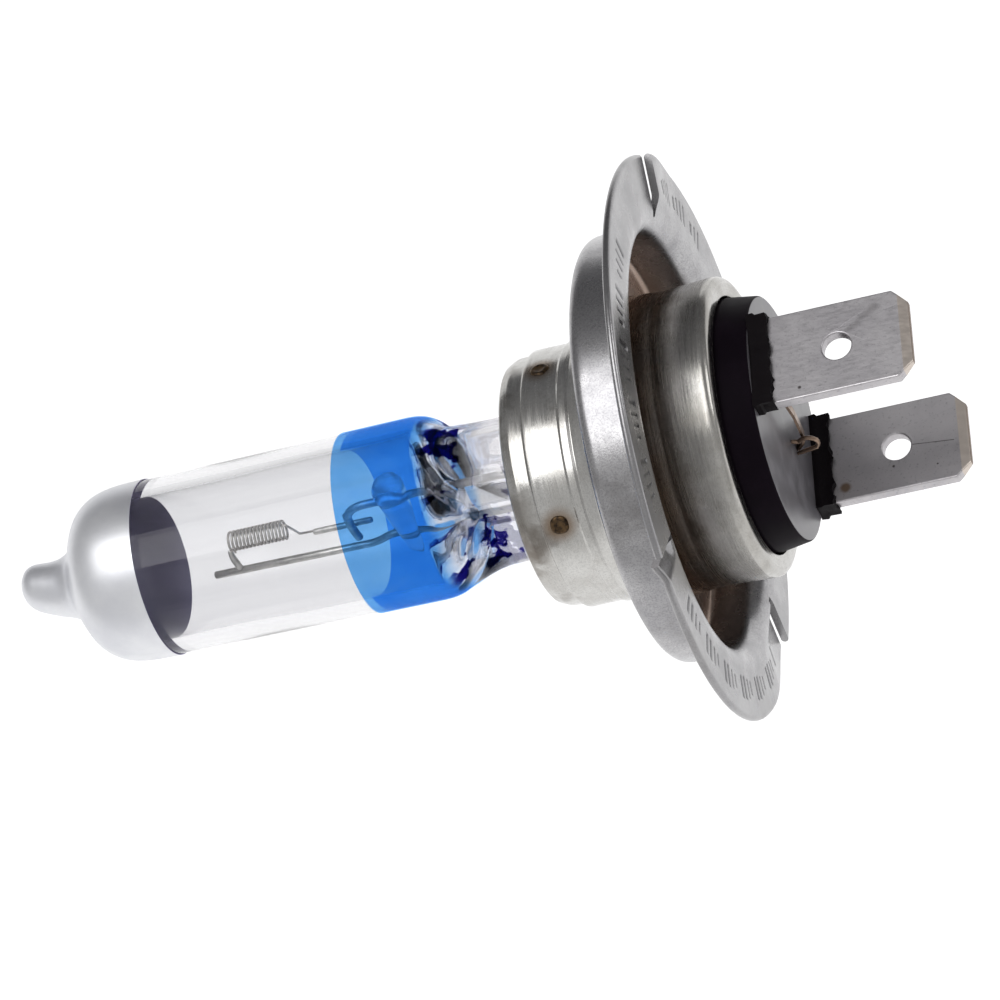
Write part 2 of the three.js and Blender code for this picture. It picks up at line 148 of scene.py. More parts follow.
def new_object(name, vertices, faces, materials, face_materials=None, sharp=35.0):
    """A shaded mesh object from points in millimetres."""
    mesh = bpy.data.meshes.new(name)
    mesh.from_pydata([Vector(v) * MM for v in vertices], [], faces)
    mesh.validate()
    for material in materials:
        mesh.materials.append(material)
    if face_materials:
        mesh.polygons.foreach_set("material_index", face_materials)
    mesh.polygons.foreach_set("use_smooth", [True] * len(mesh.polygons))
    mesh.set_sharp_from_angle(angle=math.radians(sharp))
    mesh.update()
    return add_object(name, mesh)


def place(piece, slot, *nodes):
    """The piece rides on the body and stands for the CAD nodes, which it hides. The slot is not used."""
    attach(piece, "root")
    if nodes:
        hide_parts(*nodes)
    return piece


def rounded(points, steps=5):
    """A line through (x, radius, fillet) corners as (x, radius) points, each corner rounded by its fillet."""
    most = 0.48  # the share of a side that a fillet may take
    line = []
    count = len(points)
    for i, (x, r, fillet) in enumerate(points):
        here = Vector((x, r))
        if not fillet or i in (0, count - 1):
            line.append((x, r))
            continue
        before = Vector(points[i - 1][:2]) - here
        after = Vector(points[i + 1][:2]) - here
        half = before.angle(after) / 2
        reach = min(fillet / math.tan(half), most * before.length, most * after.length)
        start = here + before.normalized() * reach
        end = here + after.normalized() * reach
        for k in range(steps + 1):
            t = k / steps
            point = start * (1 - t) ** 2 + here * 2 * t * (1 - t) + end * t * t
            line.append((point.x, point.y))
    return line


def smooth_line(points, per_span=6):
    """A Catmull-Rom curve through the points."""
    line = []
    for i in range(len(points) - 1):
        p0 = points[max(i - 1, 0)]
        p1, p2 = points[i], points[i + 1]
        p3 = points[min(i + 2, len(points) - 1)]
        for k in range(per_span):
            t = k / per_span
            line.append(tuple(
                0.5 * (2 * b + (c - a) * t + (2 * a - 5 * b + 4 * c - d) * t * t
                       + (3 * b - a - 3 * c + d) * t ** 3)
                for a, b, c, d in zip(p0, p1, p2, p3)
            ))
    line.append(tuple(points[-1]))
    return line


def ring_faces(ring_count, segments, closed=False, flip=False, start=0):
    """Quads between neighbouring rings of points."""
    faces = []
    pairs = ring_count if closed else ring_count - 1
    for i in range(pairs):
        a = start + i * segments
        b = start + ((i + 1) % ring_count) * segments
        for j in range(segments):
            k = (j + 1) % segments
            face = (a + j, a + k, b + k, b + j)
            faces.append(face[::-1] if flip else face)
    return faces


def capped_faces(ring_count, segments, flip=False, start=0):
    """Quads between neighbouring rings of points, with a face over each end."""
    faces = ring_faces(ring_count, segments, flip=flip, start=start)
    last = start + (ring_count - 1) * segments
    for first, backward in ((start, not flip), (last, flip)):
        face = tuple(range(first, first + segments))
        faces.append(face[::-1] if backward else face)
    return faces


def around(count):
    """Angles evenly round a full turn."""
    return [2 * math.pi * i / count for i in range(count)]


def lathe_rings(profile, segments, centre_y=0.0):
    """Rings of points round the X axis. The angle runs from +Z towards +Y."""
    return [(x, centre_y + r * math.sin(a), r * math.cos(a)) for x, r in profile for a in around(segments)]


def lathe(name, profile, materials, segments, centre_y=0.0):
    """A closed profile turned round the X axis."""
    points = lathe_rings(profile, segments, centre_y)
    faces = ring_faces(len(profile), segments, closed=True, flip=signed_area(profile) > 0)
    return new_object(name, points, faces, materials)


def solid_lathe(name, profile, materials, segments):
    """A profile from the axis to the axis, turned round the X axis."""
    profile = [(x, max(r, POINT)) for x, r in profile]
    faces = capped_faces(len(profile), segments, flip=profile[-1][0] > profile[0][0])
    return new_object(name, lathe_rings(profile, segments), faces, materials)


def signed_area(profile):
    """The area inside a closed profile, positive when it runs from +X towards greater radius."""
    pairs = zip(profile, profile[1:] + profile[:1])
    return sum(x0 * r1 - x1 * r0 for (x0, r0), (x1, r1) in pairs) / 2


def heading(spots, i):
    """The direction of a path at one of its places."""
    return (spots[min(i + 1, len(spots) - 1)] - spots[max(i - 1, 0)]).normalized()


def tube(name, path, radius, materials, sides=16):
    """A round wire along a smooth path. The radius may be one number or a function of 0 to 1."""
    end_share = 0.75  # how much of the wire's radius is left at its ends
    spots = [Vector(p) for p in path]
    points, count = [], len(spots)
    normal = None
    for i, spot in enumerate(spots):
        tangent = heading(spots, i)
        if normal is None:
            normal = tangent.orthogonal().normalized()
        normal = (normal - tangent * normal.dot(tangent)).normalized()
        side = tangent.cross(normal)
        r = radius(i / (count - 1)) if callable(radius) else radius
        if i in (0, count - 1):
            r *= end_share
        points += [spot + normal * (r * math.cos(a)) + side * (r * math.sin(a)) for a in around(sides)]
    return new_object(name, points, capped_faces(count, sides), materials, sharp=50)


def bent(points, corner, per_corner=8):
    """Straight runs with rounded corners, and a short first and last step for a tube's ends."""
    end_step = 0.06
    spots = [Vector(p) for p in points]
    line = [spots[0]]
    for i in range(1, len(spots) - 1):
        before = spots[i] + (spots[i - 1] - spots[i]).normalized() * corner
        after = spots[i] + (spots[i + 1] - spots[i]).normalized() * corner
        for k in range(per_corner + 1):
            t = k / per_corner
            line.append(before * (1 - t) ** 2 + spots[i] * 2 * t * (1 - t) + after * t * t)
    line.append(spots[-1])
    line.insert(1, line[0] + (line[1] - line[0]).normalized() * end_step)
    line.insert(-1, line[-1] + (line[-2] - line[-1]).normalized() * end_step)
    return line


def smoothstep(t):
    t = min(max(t, 0.0), 1.0)
    return t * t * (3 - 2 * t)


def waver(x, y, z, scale, seed=0.0):
    """Smooth noise from -1 to 1 at a place in millimetres."""
    return noise.noise(Vector((x * scale + seed, y * scale, z * scale)))


# ---- material helpers ----

class Shader:
    """A material's node tree with short calls for its nodes."""

    def __init__(self, name):
        self.material = bpy.data.materials.new(name)
        self.material.use_nodes = True
        self.tree = self.material.node_tree
        self.tree.nodes.clear()
        self.output = self.tree.nodes.new("ShaderNodeOutputMaterial")
        self.coords = self.tree.nodes.new("ShaderNodeTexCoord").outputs["Object"]

    def node(self, kind, inputs=(), **settings):
        """A node with its inputs linked or set."""
        node = self.tree.nodes.new("ShaderNode" + kind)
        for key, value in settings.items():
            setattr(node, key, value)
        for key, value in dict(inputs).items():
            if isinstance(value, bpy.types.NodeSocket):
                self.tree.links.new(value, node.inputs[key])
            else:
                node.inputs[key].default_value = value
        return node

    def maths(self, operation, a, b=0.0, c=0.0):
        return self.node("Math", {0: a, 1: b, 2: c}, operation=operation).outputs[0]

    def weighted(self, *pairs):
        """The sum of values, each times its weight."""
        total = 0.0
        for value, weight in pairs:
            total = self.maths("MULTIPLY_ADD", value, weight, total)
        return total

    def noise(self, vector, scale, detail=3.0, rough=0.55):
        """Noise from 0 to 1. The scale is in features to the metre."""
        inputs = {"Vector": vector, "Scale": scale, "Detail": detail, "Roughness": rough}
        return self.node("TexNoise", inputs).outputs[0]

    def stretched(self, x, y, z):
        """Object coordinates, stretched along each axis."""
        return self.node("VectorMath", {0: self.coords, 1: (x, y, z)}, operation="MULTIPLY").outputs[0]

    def step(self, value, start, end, low=0.0, high=1.0):
        """A smooth rise from low to high as the value goes from start to end."""
        inputs = {0: value, 1: start, 2: end, 3: low, 4: high}
        return self.node("MapRange", inputs, interpolation_type="SMOOTHSTEP").outputs[0]

    def blend(self, share, first, second):
        """A blend of two colours, where the share is the second's."""
        first, second = ((*shade, 1) if isinstance(shade, tuple) else shade for shade in (first, second))
        return self.node("Mix", {0: share, 6: first, 7: second}, data_type="RGBA").outputs[2]

    def bump(self, height, distance, strength=1.0):
        """A normal from a height. The distance is in millimetres."""
        inputs = {"Height": height, "Distance": distance * MM, "Strength": strength}
        return self.node("Bump", inputs).outputs[0]

    def axes(self):
        split = self.node("SeparateXYZ", {0: self.coords})
        return split.outputs[0], split.outputs[1], split.outputs[2]

    def reach(self, centre_y=0.0):
        """Distance from the X axis, or from a line beside it, in metres."""
        _, y, z = self.axes()
        y = self.maths("SUBTRACT", y, centre_y * MM)
        return self.maths("SQRT", self.weighted((y, y), (z, z)))

    def pressing_marks(self, reach):
        """Fine noise drawn out round the X axis, where reach is the distance from it."""
        x, y, _ = self.axes()
        parts = enumerate(((x, 9.0), (reach, 9.0), (y, 0.3)))
        parts = {i: self.maths("MULTIPLY", value, stretch) for i, (value, stretch) in parts}
        return self.noise(self.node("CombineXYZ", parts).outputs[0], 900, 4, 0.7)

    def line_distance(self, start, end):
        """Distance in plan from the line between two (x, y) places in millimetres."""
        a = Vector((*start, 0)) * MM
        run = Vector((*end, 0)) * MM - a
        flat = self.stretched(1, 1, 0)
        away = self.node("VectorMath", {0: flat, 1: a}, operation="SUBTRACT").outputs[0]
        share = self.node("VectorMath", {0: away, 1: run / run.length_squared}, operation="DOT_PRODUCT")
        share = self.node("Clamp", {0: share.outputs["Value"]}).outputs[0]
        foot = self.node("VectorMath", {0: run, 3: share}, operation="SCALE").outputs[0]
        return self.node("VectorMath", {0: away, 1: foot}, operation="DISTANCE").outputs["Value"]

    def principled(self, **inputs):
        renamed = {key.replace("_", " "): value for key, value in inputs.items()}
        return self.node("BsdfPrincipled", renamed).outputs[0]

    def clear(self, tint):
        return self.node("BsdfTransparent", {0: tint}).outputs[0]

    def mix(self, share, first, second):
        return self.node("MixShader", {0: share, 1: first, 2: second}).outputs[0]

    def finish(self, shader):
        self.tree.links.new(shader, self.output.inputs[0])
        return self.material

    def finish_glass(self, shader, shade):
        """The finished material, which lets lamps through with the shade's tint."""
        shadow_ray = self.node("LightPath").outputs["Is Shadow Ray"]
        return self.finish(self.mix(shadow_ray, shader, self.clear(shade)))


def colour(r, g, b):
    """A colour given as 0-255 screen values."""
    def linear(v):
        v /= 255
        return v / 12.92 if v <= 0.04045 else ((v + 0.055) / 1.055) ** 2.4
    return (linear(r), linear(g), linear(b))


def scaled(shade, share):
    return tuple(v * share for v in shade)


def turned_steel(name, base, dark, rough=0.3, centre_y=0.0, tint=None, brown=colour(128, 98, 72), spots=()):
    """Satin pressed steel with fine marks round the axis.

    tint(shader) gives the share of brown heat tint, and each spot has a brown halo.
    """
    s = Shader(name)
    marks = s.pressing_marks(s.reach(centre_y))
    grain = s.noise(s.coords, 9000, 3, 0.7)
    cloud = s.noise(s.coords, 330, 4, 0.6)
    stain = s.noise(s.coords, 210, 5, 0.6)
    waves = s.noise(s.coords, 260, 2)
    tone = s.blend(s.step(cloud, 0.35, 0.68), base, dark)
    tone = s.blend(s.step(grain, 0.45, 0.65, 0.0, 0.35), tone, scaled(base, 0.5))
    tone = s.blend(s.step(stain, 0.56, 0.72, 0.0, 0.6), tone, colour(84, 72, 60))
    if tint:
        tone = s.blend(tint(s), tone, brown)
    for spot in spots:
        away = s.node("VectorMath", {0: s.coords, 1: spot * MM}, operation="DISTANCE").outputs["Value"]
        halo = s.step(away, 0.45 * MM, 1.5 * MM, 0.75, 0.0)
        tone = s.blend(halo, tone, colour(120, 92, 60))
    roughness = s.maths("ADD", s.step(marks, 0.3, 0.7, rough - 0.07, rough + 0.08),
                        s.step(cloud, 0.3, 0.7, -0.03, 0.05))
    normal = s.bump(s.weighted((marks, 0.6), (grain, 0.7), (waves, 9.0)), 0.004, 0.6)
    return s.finish(s.principled(Base_Color=tone, Metallic=1.0, Roughness=roughness, Normal=normal))


def plain_wire(name, base, rough, metallic=1.0, worn=0.6):
    """Drawn metal with duller patches, where worn is the patches' share of the base brightness."""
    s = Shader(name)
    cloud = s.noise(s.coords, 1400, 4, 0.6)
    tone = s.blend(s.step(cloud, 0.35, 0.7), base, scaled(base, worn))
    roughness = s.step(cloud, 0.3, 0.7, rough - 0.08, rough + 0.1)
    normal = s.bump(s.noise(s.stretched(0.25, 1, 1), 7000, 2), 0.01, 0.6)
    return s.finish(s.principled(Base_Color=tone, Metallic=metallic, Roughness=roughness, Normal=normal))


def clear_quartz():
    """Clear glass with faint drawn streaks and ripples."""
    s = Shader("quartz")
    x, _, _ = s.axes()
    ripple = s.noise(s.stretched(0.35, 1, 1), 420, 2)
    streaks = s.noise(s.stretched(0.03, 1, 1), 380, 3, 0.6)
    tone = s.blend(s.step(streaks, 0.35, 0.65), (0.8, 0.8, 0.815), (0.86, 0.86, 0.87))
    glass = s.principled(Base_Color=tone, Roughness=0.015, IOR=1.458, Transmission_Weight=1.0,
                         Specular_Tint=(0.4, 0.4, 0.4, 1), Normal=s.bump(ripple, 0.004))
    # The pinch is half straight-through, because solid glass of this shape bends most light away.
    straight = s.clear((0.9, 0.89, 0.9, 1))
    glass = s.mix(s.step(x, -13.4 * MM, -11.0 * MM, 0.0, 0.5), glass, straight)
    return s.finish_glass(glass, (0.93, 0.94, 0.95, 1))


def milky_quartz():
    """The bridge rod's glass, slightly clouded by the flame that melted it round the wires."""
    s = Shader("bridge_quartz")
    cloud = s.noise(s.coords, 700, 3, 0.6)
    tone = s.blend(cloud, (0.93, 0.95, 0.98), (1.0, 1.0, 1.0))
    glass = s.principled(Base_Color=tone, Roughness=0.04, IOR=1.2, Transmission_Weight=1.0)
    haze = s.principled(Base_Color=(1, 1, 1, 1), Roughness=0.25)
    clouded = s.mix(s.step(cloud, 0.3, 0.7, 0.06, 0.24), glass, haze)
    return s.finish_glass(clouded, (0.9, 0.92, 0.95, 1))


def blue_film():
    """A clear blue film that fades out behind the barrel, with navy patches on the pinch that are painted
    dark refractions of the solid glass.
    """
    s = Shader("blue_film")
    x, _, _ = s.axes()
    cloud = s.noise(s.stretched(1, 1.4, 1.4), 260, 4, 0.6)
    patches = s.noise(s.stretched(0.7, 1, 1), 420, 3, 0.6)
    fade = s.step(s.weighted((x, 1.0), (cloud, 1.4 * MM)), -13.2 * MM, -12.2 * MM)
    deep = s.blend(s.step(cloud, 0.3, 0.7), (0.38, 0.67, 0.955), (0.44, 0.71, 0.97))
    # Behind the fade the film is near clear, with navy patches that are painted dark refractions of the solid
    # pinch glass.
    pinch_tint_painted_refractions = s.blend(s.step(patches, 0.55, 0.575), (0.97, 0.98, 1.0), (0.08, 0.06, 0.36))
    film = s.clear(s.blend(fade, deep, pinch_tint_painted_refractions))
    shine = s.principled(Base_Color=(0.02, 0.12, 0.45, 1), Roughness=0.12, IOR=1.4)
    facing = s.node("LayerWeight", {0: 0.12}).outputs[1]
    share = s.maths("MULTIPLY", facing, s.step(fade, 0.0, 1.0, 0.35, 0.1))
    return s.finish(s.mix(share, film, shine))


def silver_paint():
    """The satin silver coat over the capsule's front."""
    s = Shader("silver_paint")
    fine = s.noise(s.coords, 8000, 2, 0.6)
    cloud = s.noise(s.coords, 240, 4, 0.55)
    tone = s.blend(s.step(cloud, 0.35, 0.7), colour(228, 229, 232), colour(214, 215, 220))
    return s.finish(s.principled(Base_Color=tone, Metallic=0.72, Roughness=s.step(fine, 0.3, 0.7, 0.34, 0.42),
                                 Normal=s.bump(fine, 0.0015, 0.5)))


def coat_inside():
    """The silver coat as it shows through the glass."""
    s = Shader("coat_inside")
    cloud = s.noise(s.coords, 420, 3, 0.6)
    tone = s.blend(cloud, colour(158, 150, 184), colour(182, 179, 204))
    return s.finish(s.principled(Base_Color=tone, Roughness=s.step(cloud, 0.3, 0.7, 0.4, 0.6),
                                 Specular_IOR_Level=0.3))


def black_ceramic(name, base, rough, gloss):
    """The disc's glazed black ceramic. The grey base given to its rear face is a painted reflection of the
    floor, and that face is also glossier than its side.
    """
    s = Shader(name)
    cloud = s.noise(s.coords, 520, 4, 0.6)
    grain = s.noise(s.coords, 6000, 2)
    tone = s.blend(s.step(cloud, 0.4, 0.7), base, scaled(base, 1.5))
    return s.finish(s.principled(Base_Color=tone, Roughness=s.step(cloud, 0.3, 0.7, rough, rough + 0.08),
                                 IOR=1.6, Specular_IOR_Level=gloss, Normal=s.bump(grain, 0.004, 0.5)))


def rough_black():
    """The compound round the blades' roots."""
    s = Shader("rough_black")
    cloud = s.noise(s.coords, 900, 5, 0.7)
    tone = s.blend(cloud, colour(6, 3, 6), colour(18, 13, 16))
    return s.finish(s.principled(Base_Color=tone, Roughness=s.step(cloud, 0.3, 0.7, 0.45, 0.7),
                                 Specular_IOR_Level=0.1, Normal=s.bump(cloud, 0.05, 0.8)))


def blade_metal(name, scratches, stains):
    """Plated sheet with fine grain, scratches, round stains and a worn warm strip at the coined tip.

    A scratch is (start, end, width, strength) and a stain is (x, y, width, colour), in millimetres in plan.
    """
    s = Shader(name)
    x, _, _ = s.axes()
    drawn = s.noise(s.stretched(0.3, 1, 1), 4200, 4, 0.7)
    grain = s.noise(s.coords, 5200, 3, 0.65)
    cloud = s.noise(s.coords, 300, 4, 0.6)
    tone = s.blend(s.step(cloud, 0.35, 0.7), colour(190, 187, 189), colour(178, 175, 178))
    tone = s.blend(s.step(grain, 0.56, 0.72, 0.0, 0.4), tone, colour(110, 106, 112))
    dark = colour(72, 66, 64)
    marks = [(start, end, width, 1.0, strength, dark) for start, end, width, strength in scratches]
    marks += [((x_spot, y_spot), (x_spot + 0.01, y_spot), width, 0.5, 0.85, shade)
              for x_spot, y_spot, width, shade in stains]
    for start, end, width, ragged, strength, shade in marks:
        away = s.weighted((s.line_distance(start, end), 1.0), (cloud, ragged * width * MM))
        tone = s.blend(s.step(away, 0.6 * width * MM, 1.3 * width * MM, strength, 0.0), tone, shade)
    bevel = BLADE_TIP - BLADE_BEVEL
    tone = s.blend(s.step(x, (bevel - 0.04) * MM, (bevel + 0.03) * MM, 0.0, 0.8), tone, colour(214, 202, 190))
    worn = s.step(x, (BLADE_TIP - 0.08) * MM, (BLADE_TIP - 0.01) * MM, 0.0, 0.8)
    tone = s.blend(worn, tone, colour(96, 76, 62))
    roughness = s.step(drawn, 0.3, 0.7, 0.32, 0.46)
    normal = s.bump(s.weighted((drawn, 1.0), (grain, 0.8)), 0.006, 0.5)
    return s.finish(s.principled(Base_Color=tone, Metallic=0.88, Roughness=roughness, Normal=normal))


def scorched_metal():
    """The weld spots' burnt metal."""
    s = Shader("scorched_metal")
    cloud = s.noise(s.coords, 2600, 4, 0.7)
    tone = s.blend(s.step(cloud, 0.4, 0.65), colour(94, 74, 50), colour(40, 30, 22))
    normal = s.bump(cloud, 0.03, 0.8)
    return s.finish(s.principled(Base_Color=tone, Metallic=0.8, Roughness=0.4, Normal=normal))


# ---- glass capsule ----

NUB_AND_DOME = [(TIP + along, radius) for along, radius in (
    (0, 0.0), (0.08, 0.6), (0.4, 1.15), (0.9, 1.48), (1.6, 1.64), (2.4, 1.78), (3.2, 1.98), (3.85, 2.35),
    (4.3, 3.0), (4.7, 3.85), (5.2, 4.62), (5.9, 5.2), (6.8, 5.58), (8.0, 5.77), (9.6, 5.82),
)]
NUB_SHIFT = 0.5  # the nub was drawn off a little to one side
CAPSULE_SEGMENTS = 120


def nub_centre(x):
    """The Y of the capsule's middle, which only the nub's shift moves."""
    return AXIS_Y + NUB_SHIFT * smoothstep((TIP + 3.0 - x) / 2.8)


def barrel_radius(x):
    """The barrel's radius, which grows evenly from the dome to the barrel's end."""
    front = NUB_AND_DOME[-1]
    share = min(max((x - front[0]) / (BARREL_END - front[0]), 0.0), 1.0)
    return front[1] + (BARREL_RADIUS - front[1]) * share


def pinch_reach(angle):
    """Distance from the axis to the pinch's outline, a web with a round rail along each edge."""
    y, z = max(abs(math.sin(angle)), 1e-6), abs(math.cos(angle))
    rail_z = PINCH_HALF - PINCH_RAIL
    reach = PINCH_WEB / y if PINCH_WEB * z / y < rail_z else 0.0
    across = rail_z * y
    if across < PINCH_RAIL:
        reach = max(reach, rail_z * z + math.sqrt(PINCH_RAIL ** 2 - across ** 2))
    return reach


def pinch_share(x):
    """0 on the barrel and 1 on the pinch. It rises late, so the barrel keeps its shoulder."""
    return min(max((x - BARREL_END) / (PINCH_START - BARREL_END), 0.0), 1.0) ** 3


def outside_ring(x, radius, grow, segments):
    """One ring of the capsule's outside, grown outwards. The pinch's outline is softened and rippled."""
    share = pinch_share(x)
    wide_ripple, fine_ripple = 0.1 * share, 0.03 * share
    points = []
    for angle in around(segments):
        flat = sum(pinch_reach(angle + math.radians(d)) for d in (-4, -2, 0, 2, 4)) / 5
        y, z = math.sin(angle), math.cos(angle)
        reach = radius * (1 - share) + flat * share
        ripple = wide_ripple * waver(x * 0.5, reach * y, reach * z, 0.8)
        reach += ripple + fine_ripple * waver(x * 0.6, reach * y, reach * z, 2.4, 9) + grow
        points.append((x, nub_centre(x) + reach * y, reach * z))
    return points


def outside_profile(start, end, step=0.5):
    """(x, radius) pairs along the capsule's outside, with short steps down the shoulder to the pinch."""
    line = [p for p in smooth_line(NUB_AND_DOME, 5) if start - 1e-6 <= p[0] <= end]
    line = line or [(start, barrel_radius(start))]
    x = line[-1][0]
    while x + step < end:
        x += step if x < BARREL_END or x > PINCH_START else min(step, 0.16)
        line.append((x, barrel_radius(x)))
    line.append((end, barrel_radius(end)))
    return line


def cavity_ring(x, radius, segments):
    """One ring of the hollow. Near its end it is narrower, lumpy, and drawn back round the two wires."""
    share = smoothstep((x + 14.8) / 2)
    narrowing, lumps, dent_depth = 0.3 * share, 0.12 * share, 0.6 * share
    points = []
    for angle in around(segments):
        y, z = math.sin(angle), math.cos(angle)
        reach = radius * (1 - narrowing * y * y)
        reach += lumps * waver(x, reach * y, reach * z, 0.9, 4) * min(reach, 1.0)
        dent = dent_depth * math.exp(-((abs(reach * z) - LEAD_Z) ** 2 + (reach * y) ** 2) / 0.45)
        reach = max(reach, POINT)
        points.append((x + dent, nub_centre(x) + reach * y, reach * z))
    return points


def capsule_piece():
    """The glass wall from the nub to the pinch, and the hollow in it."""
    segments, end_edge = CAPSULE_SEGMENTS, 0.15
    line = outside_profile(TIP, PINCH_END - end_edge, 0.4)
    points = []
    for x, radius in line:
        points += outside_ring(x, max(radius, POINT), 0.0, segments)
    points += outside_ring(PINCH_END, barrel_radius(PINCH_END), -end_edge, segments)
    faces = capped_faces(len(line) + 1, segments, flip=True)

    inner = BARREL_RADIUS - GLASS_WALL
    cavity = smooth_line((
        (TIP + 3.6, 0.0), (TIP + 3.8, 0.5), (TIP + 4.6, 1.7), (TIP + 5.6, 3.3), (TIP + 6.8, 4.3),
        (TIP + 8.6, 4.72), (TIP + 14, 4.76), (-24, inner), (-19, inner), (-15.2, inner), (-14.2, inner - 0.2),
        (-13.5, inner - 0.8), (-13.0, inner - 1.8), (-12.65, inner - 3.2), (-12.5, 0.0),
    ), 8)
    faces += capped_faces(len(cavity), segments, start=len(points))
    for x, radius in cavity:
        points += cavity_ring(x, radius, segments)
    piece = new_object("quartz_capsule", points, faces, [clear_quartz()], sharp=60)
    return place(piece, "glass", "quartz_bulb")


def skin(name, line, materials, ends_at_axis):
    """A thin shell just outside the capsule, with the first material outside and the last one inside."""
    segments = CAPSULE_SEGMENTS
    points, count = [], len(line)
    for grow, run in ((COAT_GAP + COAT, line), (COAT_GAP, line[::-1])):
        for x, radius in run:
            points += outside_ring(x, max(radius, POINT), grow, segments)
    if ends_at_axis:
        faces = capped_faces(2 * count, segments, flip=True)
    else:
        faces = ring_faces(2 * count, segments, closed=True, flip=True)
    outer = (count - 1) * segments
    face_materials = [0] * outer + [len(materials) - 1] * (len(faces) - outer)
    if ends_at_axis:
        face_materials[-2] = 0  # the face that closes the outer side
    return new_object(name, points, faces, materials, face_materials, sharp=60)


def coating_pieces():
    """The silver coat over the front, and the blue film from the barrel's rear onto the pinch."""
    front = outside_profile(TIP, TOP_COAT_EDGE)
    front[0] = (TIP - COAT, 0.0)
    place(skin("silver_coat", front, [silver_paint(), coat_inside()], True), "silver_coat", "top_coating")
    band = outside_profile(BLUE_FRONT, -10.6, 0.25)
    place(skin("blue_band", band, [blue_film()], False), "blue_coat", "blue_coating")


# ---- filament, posts, wires and bridge ----

def filament_pieces(wire):
    """The coil with its two legs, and the posts that hold it."""
    start, length = low("filament_coil").x + 0.25, 4.0
    centre_z = middle("filament_coil").z
    turns, radius = 15.5, 0.62
    helix = []
    steps = int(turns * 22)
    for i in range(steps + 1):
        t = i / steps
        angle = 2 * math.pi * turns * t + math.pi
        helix.append((start + length * t, radius * math.sin(angle), centre_z + radius * math.cos(angle)))
    low_z = centre_z - radius
    helix = [(start - 0.05, -0.25, low_z - 0.5), (start - 0.03, -0.12, low_z - 0.2)] + helix
    tail = helix[-1]
    helix += [(tail[0] + 0.25, tail[1] - 0.12, tail[2] + 0.05), (tail[0] + 0.8, -0.25, low_z + 0.12),
              (tail[0] + 1.8, -0.25, low_z + 0.06)]
    tungsten = plain_wire("tungsten", colour(182, 178, 174), 0.36, 0.6, 0.7)
    place(tube("coil", helix, 0.085, [tungsten], 8), "tungsten", "filament_coil")

    x = middle("front_filament_post").x
    path = bent([(x, -0.2, low_z - 0.15), (x, -0.5, low_z - 0.5), (x + 0.12, AXIS_Y, -2.35)], 0.25)
    place(tube("front_post", path, lambda t: 0.17 + 0.07 * t, [wire], 12), "wire", "front_filament_post")

    _, y, z = middle("rear_filament_post")
    front, rear, end_step = low("rear_filament_post").x, high("rear_filament_post").x, 0.12
    path = [(x, y, z) for x in (front, front + end_step, rear - end_step, rear)]
    place(tube("rear_post", path, 0.22, [wire], 14), "wire", "rear_filament_post")


def flat_wire(name, route, corner, steps, radius, sides, wire):
    """A wire bent through (x, z) places in the capsule's middle plane."""
    path = bent([(x, AXIS_Y, z) for x, z in route], corner, steps)
    return tube(name, path, radius, [wire], sides)


def wire_pieces(wire):
    """The two support wires in front of the foils, and the leads behind them."""
    foil_front = low("upper_foil").x
    hooked = [(foil_front, LEAD_Z), (-19.9, LEAD_Z), (-20.35, -0.2), (-20.3, -1.75)]
    place(flat_wire("short_wire", hooked, 1.5, 12, 0.275, 20, wire), "wire", "short_support_wire")
    forward = [(foil_front, -LEAD_Z), (-18.2, -LEAD_Z), (-19.5, -2.78), (low("long_support_wire").x, -2.55)]
    place(flat_wire("long_wire", forward, 0.6, 10, 0.265, 20, wire), "wire", "long_support_wire")
    radius = 0.27
    for side, name in ((1, "upper"), (-1, "lower")):
        node, z = f"{name}_outer_lead", side * LEAD_Z
        end = (high(node).z if side > 0 else low(node).z) - side * radius
        route = [(high(f"{name}_foil").x, z), (1.2, z), (4, end), (5.7, end)]
        place(flat_wire(f"{name}_lead", route, 0.8, 8, radius, 12, wire), "wire", node)


def bridge_piece():
    """The rod across the wires, drawn slightly barrel-shaped with melted rounded ends."""
    centre = middle("quartz_bridge")
    half = high("quartz_bridge").z
    radius = (high("quartz_bridge").x - low("quartz_bridge").x) / 2
    profile = [(-half, POINT), (-half, radius - 0.75)]
    for k in range(2, 9):
        angle = math.pi / 2 * k / 8
        profile.append((-half + 0.55 * (1 - math.cos(angle)), (radius - 0.5) + 0.5 * math.sin(angle)))
    profile += [(x, radius * (1 + 0.02 * math.cos(x))) for x in (-2.4, -1.2, 0, 1.2, 2.4)]
    profile += [(-x, r) for x, r in reversed(profile[:9])]
    segments, points = 64, []
    for along, r in profile:
        for angle in around(segments):
            x, y = math.cos(angle), math.sin(angle)
            reach = r * (1 + 0.02 * waver(along, x, y, 1.3))
            points.append((centre.x + reach * x, centre.y + reach * y, along))
    piece = new_object("bridge_rod", points, capped_faces(len(profile), segments), [milky_quartz()], sharp=70)
    return place(piece, "glass", "quartz_bridge")


# ---- steel base ----

def spot_place(angle, reach):
    """A weld spot's place at a distance from the capsule's axis."""
    radians = math.radians(angle)
    return Vector((WELD_SPOT_X, AXIS_Y + reach * math.sin(radians), reach * math.cos(radians)))


